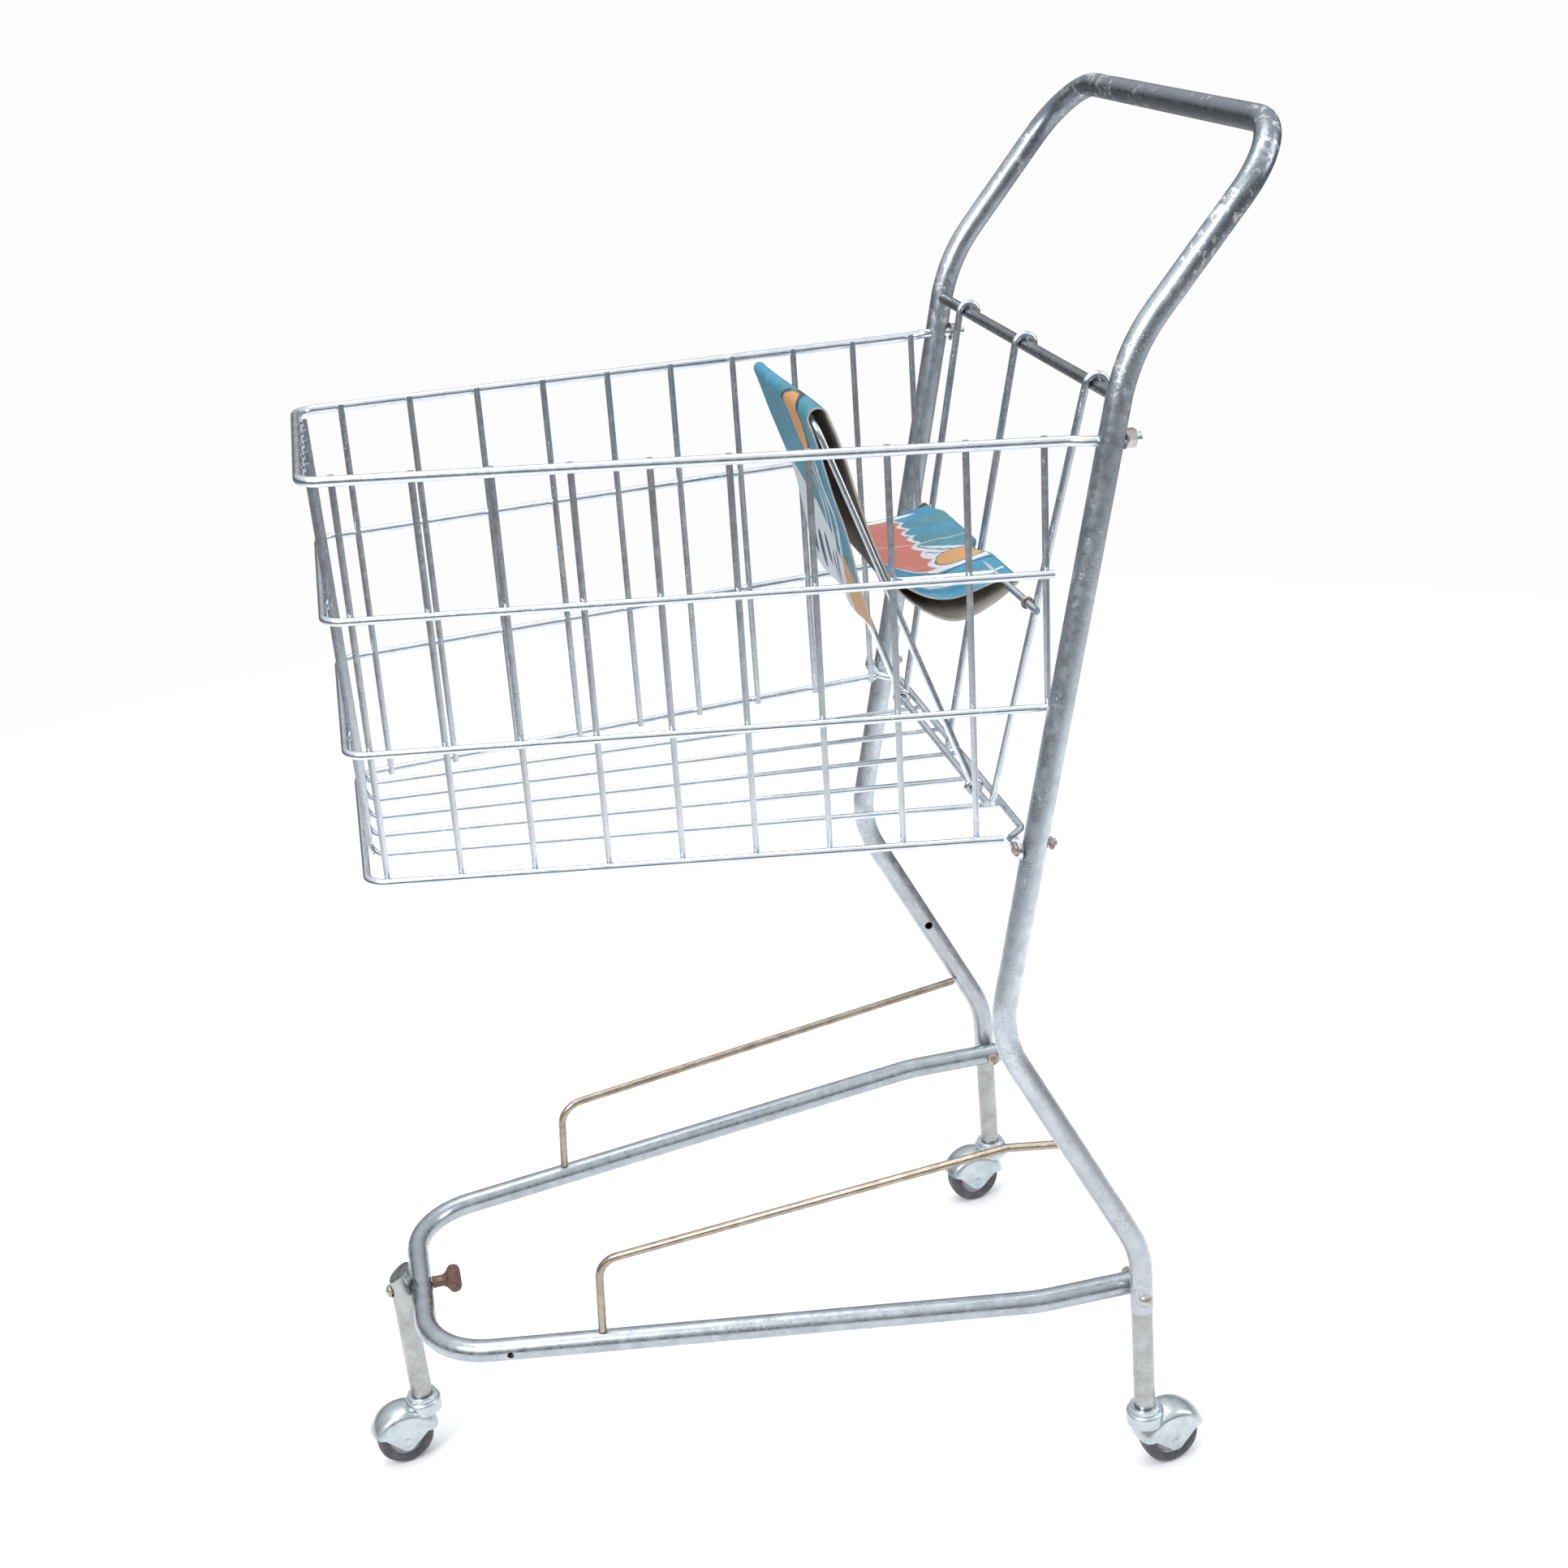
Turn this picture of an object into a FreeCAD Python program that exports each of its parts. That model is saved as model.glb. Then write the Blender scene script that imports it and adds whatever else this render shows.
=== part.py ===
"""Child's three-castor shopping trolley: bent steel tube frame, welded wire basket,
rear gate with a folding doll seat.  Millimetres, front towards -Y, +X is the left side,
+Z up, origin on the floor under the middle of the bounding box."""
import FreeCAD, Part
import math
import os

V = FreeCAD.Vector

# ---- driving dimensions ----------------------------------------------------
TUBE_OD = 15.0
TUBE_ID = 12.6
LEG_X = 173.0                      # half distance between the two uprights
HANDLE = (304.5, 866.5)            # (y, z) of each corner of the side profile
UPPER_BEND = (209.5, 758.0)
LOWER_BEND = (115.5, 350.5)
LEG_BEND = (202.0, 173.0)
HANDLE_R, UPPER_R, LOWER_R, LEG_R = 44.0, 110.0, 70.0, 70.0
SLEEVE_Z = 127.0                   # main tube ends here, the lower leg goes on
LOWER_LEG_OD = 14.0
SPIGOT_R = 6.2
STEM_Z = 50.0                      # underside of every leg

RAIL_Z = 138.0
RAIL_X = 157.9                     # rear ends of the rails lie against the legs
RAIL_BEND_Y = 136.0
RAIL_END_Y = 210.0
RAIL_SPLAY = 0.193                 # sideways run per unit of length
CROSS_Y = -258.7
CORNER_R = 50.0
FRONT_LEG_Y = CROSS_Y - 13.5       # the leg is dented round the crossbar
FRONT_LEG_TOP = 151.5

SIDE_WIRE_R = 2.75
SIDE_WIRE_FOOT_Y = -145.0
SIDE_WIRE_TOP_Z = 197.0
LEG_HOLE_Z = 256.0                 # side wire hole through each slanted leg

FRONT_Y = -238.0                   # inner face of the basket front at the rim
FRONT_LEAN = 0.010
SIDE_IN = 90.6                     # inner face of the basket side at the front
SIDE_SPLAY = 0.1687
SIDE_LEAN = 0.0129
HOOP_FRONT_Z = (730.0, 648.0, 566.0, 484.0)
HOOP_FALL = (0.046, 0.034, 0.032, 0.034)
HOOP_END_Y = (178.0, 167.0, 162.5, 131.0)
RIGHT_SHIFT = 10.6                 # the right side panel was welded on this much further back
RIM_R, HOOP_R, WIRE_R = 3.0, 2.4, 1.95
WIRE_COUNT = 10
WIRE_TOP_Y, WIRE_TOP_STEP = -223.4, 43.2
WIRE_FOOT_Y, WIRE_FOOT_STEP = -230.9, 43.4
FLOOR_FRONT_STEP, FLOOR_REAR_STEP = 29.5, 45.5
TOUCH = 0.03                       # gap between wires that are welded together

RIM_EXIT_X = 170.0
CROSS_WIRE = (146.5, 470.5)        # (y, z)
ROD_R = 3.6
ROD_Z = 733.0
GATE_BAR = (136.0, 474.0)
GATE_BAR_R, GATE_WIRE_R = 2.4, 2.25
GATE_TOP_X = (137.0, 9.0, -110.0)
GATE_FOOT_X = (100.0, 3.0, -103.0)
BACK_LENGTH = 256.0
BACK_LEAN = 18.0                   # degrees forward of upright
SEAT_BAR = (163.2, 605.0)
SEAT_DEPTH = 59.4
SEAT_DROP = 2.0                    # degrees below level
VINYL = 1.2
VINYL_HALF = 3.5                   # half thickness of a vinyl sleeve
SEAT_SAG = 11.0

WHEEL_R = 20.0
TRAIL = 17.0
HEADINGS = {"left": 8.0, "right": 186.0, "front": 190.0}


# ---- helpers ---------------------------------------------------------------
def save(name, solids):
    """Write one node as STEP."""
    solids = solids if isinstance(solids, list) else [solids]
    shape = solids[0] if len(solids) == 1 else Part.makeCompound(solids)
    shape.exportStep("parts/" + name + ".step")


def one(shape):
    """The single solid of a boolean result."""
    shape = shape.removeSplitter()
    return shape.Solids[0] if len(shape.Solids) == 1 else shape


def path(points, radii):
    """Straight runs joined by tangent arcs: one radius for each inner point."""
    edges = []
    start = points[0]
    for i in range(1, len(points) - 1):
        here, radius = points[i], radii[i - 1]
        back = (points[i - 1] - here).normalize()
        ahead = (points[i + 1] - here).normalize()
        half = math.acos(max(-1.0, min(1.0, back.dot(ahead)))) / 2
        reach = radius / math.tan(half)
        first, last = here + back * reach, here + ahead * reach
        middle_dir = (back + ahead).normalize()
        middle = here + middle_dir * (radius / math.sin(half) - radius)
        if (first - start).Length > 1e-4:
            edges.append(Part.LineSegment(start, first).toShape())
        edges.append(Part.Arc(first, middle, last).toShape())
        start = last
    if (points[-1] - start).Length > 1e-4:
        edges.append(Part.LineSegment(start, points[-1]).toShape())
    return Part.Wire(edges)


def sweep(wire, radius):
    """Round bar of a given radius along a path."""
    first = wire.OrderedEdges[0]
    at = first.valueAt(first.FirstParameter)
    along = first.tangentAt(first.FirstParameter)
    if (first.valueAt(first.LastParameter) - wire.OrderedVertexes[0].Point).Length < 1e-6:
        at, along = first.valueAt(first.LastParameter), first.tangentAt(first.LastParameter) * -1
    ring = Part.Wire(Part.makeCircle(radius, at, along))
    return Part.Wire(wire).makePipeShell([ring], True, False).Solids[0]


def bar(a, b, radius):
    """Straight round bar from a to b."""
    return Part.makeCylinder(radius, (b - a).Length, a, b - a)


def tube(wire, outer_d, inner_d):
    """Open round tube along a path."""
    return one(sweep(wire, outer_d / 2).cut(sweep(wire, inner_d / 2)))


def mirror(p):
    return V(-p.x, p.y, p.z)


def hexagon(across, height, at, along):
    """Hexagon prism, as a nut or a bolt head."""
    radius = across / math.sqrt(3)
    corners = [V(radius * math.cos(a), radius * math.sin(a), 0)
               for a in [math.radians(60 * i) for i in range(7)]]
    solid = Part.Face(Part.makePolygon(corners)).extrude(V(0, 0, height))
    solid.Placement = FreeCAD.Placement(at, FreeCAD.Rotation(V(0, 0, 1), along))
    return solid


def nut(across, height, bore, at, along):
    return hexagon(across, height, at, along).cut(Part.makeCylinder(bore, height, at, along))


def ring(outer, inner, thick, at, along):
    return Part.makeCylinder(outer, thick, at, along).cut(Part.makeCylinder(inner, thick, at, along))


def dome(radius, height, at, along):
    """Low round head: a spherical cap standing on a disc of the given radius."""
    ball_r = (radius ** 2 + height ** 2) / (2 * height)
    ball = Part.makeSphere(ball_r, V(0, 0, height - ball_r))
    cap = ball.common(Part.makeCylinder(radius, height, V(0, 0, 0)))
    cap.Placement = FreeCAD.Placement(at, FreeCAD.Rotation(V(0, 0, 1), along))
    return cap.Solids[0]


def upright_y(z):
    """Centre line of the upright at a height between its two bends."""
    (y0, z0), (y1, z1) = LOWER_BEND, UPPER_BEND
    return y0 + (y1 - y0) * (z - z0) / (z1 - z0)


def slant_y(z):
    """Centre line of the slanted leg at a height between its two bends."""
    (y0, z0), (y1, z1) = LOWER_BEND, LEG_BEND
    return y0 + (y1 - y0) * (z - z0) / (z1 - z0)


def side_in(y, z):
    """Inner face of the left basket side."""
    return SIDE_IN + SIDE_SPLAY * (y + 241) + SIDE_LEAN * (z - HOOP_FRONT_Z[0])


def front_in(z):
    """Inner face of the basket front."""
    return FRONT_Y - FRONT_LEAN * (HOOP_FRONT_Z[0] - z)


def hoop_z(i, y):
    return HOOP_FRONT_Z[i] - HOOP_FALL[i] * (y + 241)


def rail_x(y):
    """Centre line of the diverging part of the left rail."""
    return RAIL_X - RAIL_SPLAY * (RAIL_BEND_Y - y)


# ---- tube frame ------------------------------------------------------------
def main_tube():
    side = [V(LEG_X, LEG_BEND[0], SLEEVE_Z)]
    side += [V(LEG_X, y, z) for y, z in (LEG_BEND, LOWER_BEND, UPPER_BEND, HANDLE)]
    points = side + [mirror(p) for p in reversed(side)]
    radii = [LEG_R, LOWER_R, UPPER_R, HANDLE_R, HANDLE_R, UPPER_R, LOWER_R, LEG_R]
    body = tube(path(points, radii), TUBE_OD, TUBE_ID)
    drills = []
    for s in (1, -1):
        drills.append(rail_drill(s))
        drills.append(bar(V(s * (LEG_X - 9), slant_y(LEG_HOLE_Z), LEG_HOLE_Z),
                          V(s * LEG_X, slant_y(LEG_HOLE_Z), LEG_HOLE_Z), 3.0))
        drills.append(bar(V(s * (LEG_X - 9), upright_y(ROD_Z), ROD_Z),
                          V(s * LEG_X, upright_y(ROD_Z), ROD_Z), ROD_R + 0.1))
        drills.append(bar(rim_end(s, 188), rim_end(s, 212), RIM_R + 0.15))
        drills.append(bar(eye_point(s, -6), eye_point(s, 24), 2.65))
    return one(body.cut(drills))


def rail_drill(s):
    """Cross hole for the bolt through rail, leg and spigot."""
    return bar(V(s * (RAIL_X - 9), LEG_BEND[0], RAIL_Z), V(s * (LEG_X + 9), LEG_BEND[0], RAIL_Z), 2.6)


def rear_leg(s):
    """Lower leg with the spigot that plugs into the main tube."""
    x, y = s * LEG_X, LEG_BEND[0]
    lower = Part.makeCylinder(LOWER_LEG_OD / 2, SLEEVE_Z - 0.1 - STEM_Z, V(x, y, STEM_Z))
    lower = lower.fuse(Part.makeCylinder(SPIGOT_R, 26, V(x, y, SLEEVE_Z - 0.2)))
    bore = Part.makeCylinder(5.2, 110, V(x, y, STEM_Z - 1))
    socket = Part.makeCylinder(6.0, 23, V(x, y, STEM_Z - 1))
    return one(lower.cut([bore, socket, rail_drill(s)]))


def lower_frame():
    corner_x = rail_x(CROSS_Y)
    side = [V(RAIL_X, RAIL_END_Y, RAIL_Z), V(RAIL_X, RAIL_BEND_Y, RAIL_Z), V(corner_x, CROSS_Y, RAIL_Z)]
    points = side + [mirror(p) for p in reversed(side)]
    body = tube(path(points, [90.0, CORNER_R, CORNER_R, 90.0]), TUBE_OD, TUBE_ID)
    bolt_hole = bar(V(0, CROSS_Y - 9, RAIL_Z), V(0, CROSS_Y + 9, RAIL_Z), 3.2)
    spare = V(rail_x(-205), -205, RAIL_Z)
    out = V(1, -RAIL_SPLAY, 0).normalize() * 9
    spare_hole = bar(spare - out, spare + out, 2.25)
    return one(body.cut([bolt_hole, spare_hole, rail_drill(1), rail_drill(-1)]))


def front_leg():
    """Leg with its top pressed shut and slanted, seated in a dent round the crossbar."""
    y = FRONT_LEG_Y
    body = Part.makeCylinder(TUBE_OD / 2, FRONT_LEG_TOP + 8 - STEM_Z, V(0, y, STEM_Z))
    bore = Part.makeCylinder(6.0, 74, V(0, y, STEM_Z - 1))
    slope = Part.makeBox(40, 60, 30, V(-20, -30, 0))
    slope.Placement = FreeCAD.Placement(V(0, y, FRONT_LEG_TOP), FreeCAD.Rotation(V(1, 0, 0), 36))
    dent = bar(V(-20, CROSS_Y, RAIL_Z), V(20, CROSS_Y, RAIL_Z), TUBE_OD / 2 + 0.1)
    hole = bar(V(0, y - 9, RAIL_Z), V(0, y + 9, RAIL_Z), 3.2)
    return one(body.cut([bore, slope, dent, hole]))


def side_wire(s):
    """Thin stay from the rail to the slanted leg; the right one ends lower down."""
    foot = V(s * rail_x(SIDE_WIRE_FOOT_Y), SIDE_WIRE_FOOT_Y, RAIL_Z + TUBE_OD / 2 + 0.35)
    top = V(s * 100, SIDE_WIRE_FOOT_Y + 4, SIDE_WIRE_TOP_Z)
    if s > 0:
        hole = V(LEG_X - 3.5, slant_y(LEG_HOLE_Z), LEG_HOLE_Z)
        turns = [V(149, hole.y - 38, LEG_HOLE_Z - 2), hole - V(8.5, 0, 0)]
        return sweep(path([foot, top] + turns + [hole], [16.0, 16.0, 6.0]), SIDE_WIRE_R)
    end = V(-168, slant_y(203) - 8.9, 203)
    return sweep(path([foot, top, end], [16.0]), SIDE_WIRE_R)


def front_bolt():
    start = FRONT_LEG_Y - TUBE_OD / 2 - 0.05
    shank = bar(V(0, start, RAIL_Z), V(0, CROSS_Y + 22.5, RAIL_Z), 3.0)
    return one(shank.fuse(dome(4.9, 3.7, V(0, start + 0.01, RAIL_Z), V(0, -1, 0))))


def clamp_knob():
    """Mushroom shaped blind thumb nut with a short collar."""
    base = CROSS_Y + TUBE_OD / 2 + 0.3
    profile = [V(3.05, 0, 0), V(4.5, 0, 0), V(4.0, 0, 2.0), V(4.0, 0, 7.0), V(5.4, 0, 9.4), V(8.6, 0, 11.6),
               V(9.6, 0, 13.4), V(9.6, 0, 16.0), V(8.6, 0, 18.2), V(6.0, 0, 19.5), V(0, 0, 19.5),
               V(0, 0, 15.4), V(3.05, 0, 15.4)]
    body = Part.Face(Part.makePolygon(profile + profile[:1])).revolve(V(0, 0, 0), V(0, 0, 1), 360)
    body.Placement = FreeCAD.Placement(V(0, base, RAIL_Z), FreeCAD.Rotation(V(0, 0, 1), V(0, 1, 0)))
    return body.Solids[0]


def rail_fasteners():
    bolts, nuts, plugs = [], [], []
    for s in (1, -1):
        outer = s * (LEG_X + TUBE_OD / 2 + 0.1)
        inner = s * (RAIL_X - TUBE_OD / 2 - 0.1)
        y = LEG_BEND[0]
        shank = bar(V(outer, y, RAIL_Z), V(inner - s * 6.5, y, RAIL_Z), 2.5)
        bolts.append(one(shank.fuse(dome(4.6, 2.6, V(outer, y, RAIL_Z), V(s, 0, 0)))))
        nuts.append(nut(8.0, 4.0, 2.52, V(inner, y, RAIL_Z), V(-s, 0, 0)))
        plug = Part.makeCylinder(SPIGOT_R, 3.5, V(s * RAIL_X, RAIL_END_Y - 3.4, RAIL_Z), V(0, 1, 0))
        cap = dome(TUBE_OD / 2 - 0.2, 5.5, V(s * RAIL_X, RAIL_END_Y + 0.1, RAIL_Z), V(0, 1, 0))
        plugs.append(one(plug.fuse(cap)))
    return bolts, nuts, plugs


# ---- castors ---------------------------------------------------------------
def revolve_x(profile):
    """Solid of revolution about X from (radius, x) points."""
    points = [V(x, 0, r) for r, x in profile]
    return Part.Face(Part.makePolygon(points + points[:1])).revolve(V(0, 0, 0), V(1, 0, 0), 360).Solids[0]


def pressed_shell(radius, half_width, edge, centre):
    """Flat sided ball with rounded edges, the shape of a pressed castor hood."""
    slab = Part.makeBox(2 * half_width, 90, 90, centre - V(half_width, 45, 45))
    shell = Part.makeSphere(radius, centre).common(slab)
    rims = [e for e in shell.Edges if e.BoundBox.XLength < 1e-3 and e.BoundBox.YLength > 1]
    return shell.makeFillet(edge, rims)


def rounded_disc(radius, height, edge, bottom):
    """Round disc on the Z axis with a rounded upper edge."""
    disc = Part.makeCylinder(radius, height, V(0, 0, bottom))
    return disc.makeFillet(edge, [e for e in disc.Edges if e.BoundBox.ZMin > bottom + height - 1e-6])


def castor():
    """Stem, hood, axle, wheel core and tyre, trailing towards +Y."""
    centre = V(0, TRAIL, WHEEL_R)
    up = V(0, 0, 1)
    stem = Part.makeCylinder(3.9, STEM_Z + 22 - 37, V(0, 0, 37))
    stem = stem.fuse(Part.makeCylinder(5.9, 20, V(0, 0, STEM_Z + 0.4)))
    shell_out = pressed_shell(25.0, 12.5, 5.6, centre)
    shell_in = pressed_shell(23.4, 11.0, 4.2, centre)
    side = [(-32, 25), (-32, 60), (32, 60), (32, 33), (15, 27), (5.2, 16.6), (-5.2, 16.6), (-15, 25)]
    side = [V(-20, TRAIL + y, z) for y, z in side]
    keep = Part.Face(Part.makePolygon(side + side[:1])).extrude(V(40, 0, 0))
    keep = keep.fuse(Part.makeCylinder(6.2, 40, centre - V(20, 0, 0), V(1, 0, 0)))
    cup = rounded_disc(12.6, 9.5, 2.4, 36.5).fuse(rounded_disc(10.4, 8.0, 1.2, STEM_Z - 0.4 - 8.0))
    hood = shell_out.common(keep).fuse(cup).cut([shell_in, Part.makeCylinder(4.0, 60, V(0, 0, 20))])
    hood = one(hood.cut(Part.makeCylinder(2.1, 40, centre - V(20, 0, 0), V(1, 0, 0))))
    pin = Part.makeCylinder(2.05, 25.2, V(-12.6, 0, 0), V(1, 0, 0))
    heads = [dome(4.0, 0.8, V(s * 12.55, 0, 0), V(s, 0, 0)) for s in (1, -1)]
    axle = one(pin.fuse(heads))
    core = revolve_x([(2.1, -9), (5.5, -9), (5.5, -6), (11.5, -5), (12.4, -6.5), (12.4, 6.5), (11.5, 5),
                      (5.5, 6), (5.5, 9), (2.1, 9)])
    tyre = revolve_x([(12.45, -7.2), (15, -8), (18, -7.6), (19.6, -5.4), (20, -2.5), (20, 2.5), (19.6, 5.4),
                      (18, 7.6), (15, 8), (12.45, 7.2)])
    for piece in (axle, core, tyre):
        piece.translate(centre)
    return {"stem": one(stem), "hood": hood, "axle": axle, "wheel": core, "tyre": tyre}


# ---- basket ----------------------------------------------------------------
def rim_end(s, y):
    """Point on the threaded end of the rim wire where it goes through the upright."""
    return V(s * RIM_EXIT_X, y, hoop_z(0, y))


def eye_point(s, out):
    """Point on the lower basket bolt, measured back from the front of the upright."""
    z = CROSS_WIRE[1] + 3
    return V(s * LEG_X, upright_y(z) - 9.5 + out, z)


def hoop(i):
    radius = RIM_R if i == 0 else HOOP_R
    offset = radius * math.sqrt(1 + SIDE_SPLAY ** 2)
    front = front_in(HOOP_FRONT_Z[i]) - radius

    def at(y):
        return V(side_in(y, hoop_z(i, y)) + offset, y, hoop_z(i, y))
    left, right, radii = [at(HOOP_END_Y[i]), at(front)], [at(HOOP_END_Y[i]), at(front)], [14.0, 14.0]
    if i == 0:
        left = [rim_end(1, 217), rim_end(1, 187)] + left
        right = [rim_end(1, 217), rim_end(1, 187)] + right
        radii = [14.0, 14.0] + radii + [14.0, 14.0]
    elif i < 3:
        right[0] = at(HOOP_END_Y[i] + RIGHT_SHIFT)
    return sweep(path(left + [mirror(p) for p in reversed(right)], radii), radius)


def side_wires(s):
    solids = []
    inset = (WIRE_R + TOUCH) * math.sqrt(1 + SIDE_SPLAY ** 2)
    shift = RIGHT_SHIFT if s < 0 else 0.0
    for k in range(WIRE_COUNT):
        last = k == WIRE_COUNT - 1
        y_top = WIRE_TOP_Y + WIRE_TOP_STEP * k + shift
        y_foot = WIRE_FOOT_Y + WIRE_FOOT_STEP * k + shift
        z_top, z_foot = hoop_z(0, y_top) + 2.2, hoop_z(3, y_foot) - 1.6
        if last:
            z_foot = hoop_z(2, y_foot) - 3.0
            y_foot = y_top + (y_foot - y_top) / 3 * 2
        top = V(s * (side_in(y_top, z_top) - inset), y_top, z_top)
        foot = V(s * (side_in(y_foot, z_foot) - inset), y_foot, z_foot)
        solids.append(bar(foot, top, WIRE_R))
    return solids


def floor_wires():
    """Five wires that run down the front and back along the floor."""
    solids = []
    for k in range(-2, 3):
        x0, x1 = k * FLOOR_FRONT_STEP, k * FLOOR_REAR_STEP
        top = V(x0, front_in(732) + WIRE_R + TOUCH, 732)
        low = HOOP_FRONT_Z[3] + HOOP_R + WIRE_R + TOUCH
        corner = V(x0, front_in(low) + WIRE_R + TOUCH, low)
        end = V(x1, CROSS_WIRE[0] + 3, CROSS_WIRE[1] - HOOP_R - WIRE_R - TOUCH - 0.2)
        solids.append(sweep(path([top, corner, end], [9.0]), WIRE_R))
    return solids


def rear_cross_wire():
    """Floor's rear wire; both ends are flattened to an eye in front of the upright."""
    y, z = CROSS_WIRE
    eye = eye_point(1, 0)
    side = [V(140, y, z), V(155, eye.y - 1.2, z + 1), V(167, eye.y - 1.2, eye.z)]
    points = [mirror(p) for p in reversed(side)] + side
    body = sweep(path(points, [14.0, 10.0, 10.0, 14.0]), HOOP_R)
    for s in (1, -1):
        centre = eye_point(s, -2.4)
        body = body.fuse(Part.makeCylinder(7.0, 2.4, centre, V(0, 1, 0)))
        body = body.cut(Part.makeCylinder(2.65, 20, centre - V(0, 10, 0), V(0, 1, 0)))
    return one(body)


def basket_fasteners():
    nuts, washers, bolts, small_nuts = [], [], [], []
    for s in (1, -1):
        along = (rim_end(s, 218) - rim_end(s, 208)).normalize()
        washers.append(ring(6.0, RIM_R + 0.1, 1.0, rim_end(s, 207.2), along))
        nuts.append(nut(10.0, 5.0, RIM_R + 0.02, rim_end(s, 208.3), along))
        head = eye_point(s, -2.5)
        back = eye_point(s, 18.4)
        bolt = bar(head, back + V(0, 4.2, 0), 2.5)
        bolts.append(one(bolt.fuse(dome(4.6, 2.6, head, V(0, -1, 0)))))
        small_nuts.append(nut(7.0, 2.2, 2.52, back, V(0, 1, 0)))
    return nuts, washers, bolts, small_nuts


# ---- gate, backrest and seat -----------------------------------------------
ROD = V(0, upright_y(ROD_Z), ROD_Z)
BAR = V(0, GATE_BAR[0], GATE_BAR[1])
GATE_UP = (ROD - BAR).normalize()
GATE_BACK = V(0, GATE_UP.z, -GATE_UP.y)
BACK_UP = V(0, -math.sin(math.radians(BACK_LEAN)), math.cos(math.radians(BACK_LEAN)))
BACK_FRONT = V(0, -BACK_UP.z, BACK_UP.y)
SEAT_OUT = V(0, -math.cos(math.radians(SEAT_DROP)), -math.sin(math.radians(SEAT_DROP)))
SEAT_UP = V(0, SEAT_OUT.z, -SEAT_OUT.y)
SEAT = V(0, SEAT_BAR[0], SEAT_BAR[1])


def gate_wires():
    """Three wires with a hook over the rod; their feet are welded behind the bottom bar."""
    hook_r = ROD_R + GATE_WIRE_R + 0.3
    solids = []
    for top_x, foot_x in zip(GATE_TOP_X, GATE_FOOT_X):
        side = V(top_x, 0, 0)
        foot = BAR + V(foot_x, 0, 0) + GATE_BACK * (GATE_BAR_R + GATE_WIRE_R + TOUCH) - GATE_UP * 1.5
        corner = ROD + side + GATE_UP * hook_r - GATE_BACK * hook_r
        over = ROD + side + GATE_UP * hook_r + GATE_BACK * hook_r
        tip = ROD + side + GATE_BACK * hook_r - GATE_UP * 3.5
        solids.append(sweep(path([foot, corner, over, tip], [hook_r - 0.2, hook_r - 0.2]), GATE_WIRE_R))
    return solids


def gate_wire_point(i, z):
    """Centre of a gate wire at a height, between bar and rod."""
    t = (z - GATE_BAR[1]) / (ROD_Z - GATE_BAR[1])
    return GATE_FOOT_X[i] + (GATE_TOP_X[i] - GATE_FOOT_X[i]) * t


def seat_eyes():
    eyes = []
    for i in (0, 2):
        centre = V(gate_wire_point(i, SEAT_BAR[1]), SEAT_BAR[0], SEAT_BAR[1])
        eyes.append(Part.makeTorus(2.25 + 0.08 + 0.8, 0.8, centre, V(1, 0, 0)))
    return eyes


def backrest_frame():
    """One bent wire, with a closed eye round the gate's bottom bar at each end."""
    def at(x, along):
        return BAR + V(x, 0, 0) + BACK_UP * along
    eye_r = GATE_BAR_R + 0.08 + 2.0
    points = [at(-96, eye_r), at(-92, BACK_LENGTH), at(53, BACK_LENGTH), at(76, eye_r)]
    body = sweep(path(points, [16.0, 16.0]), GATE_WIRE_R)
    for x in (-96, 76):
        body = body.fuse(Part.makeTorus(eye_r, 2.0, at(x, 0), V(1, 0, 0)))
    pin = bar(BAR + V(-110, 0, 0), BAR + V(110, 0, 0), GATE_BAR_R + 0.07)
    return one(body.cut(pin))


def backrest_cover():
    """Flat vinyl sleeve folded over the top of the backrest wire."""
    def slab(low, high, grow, half):
        corners = [(-100 - grow, low), (-98 - grow, high), (58 + grow, high), (73 + grow, low)]
        points = [BAR + V(x, 0, 0) + BACK_UP * a - BACK_FRONT * half for x, a in corners]
        return Part.Face(Part.makePolygon(points + points[:1])).extrude(BACK_FRONT * 2 * half)
    top = BACK_LENGTH + VINYL_HALF
    return one(slab(118, top, 0, VINYL_HALF).cut(slab(108, top - VINYL, 12, VINYL_HALF - VINYL)))


def seat_frame():
    """Hinge bar with a welded loop that carries the seat."""
    def at(x, along):
        return SEAT + V(x, 0, 0) + SEAT_OUT * along
    body = bar(at(-112, 0), at(136, 0), GATE_WIRE_R)
    loop = sweep(path([at(-93, 0), at(-86, SEAT_DEPTH), at(36, SEAT_DEPTH), at(56, 0)], [12.0, 12.0]),
                 GATE_WIRE_R)
    return one(body.fuse(loop))


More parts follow.
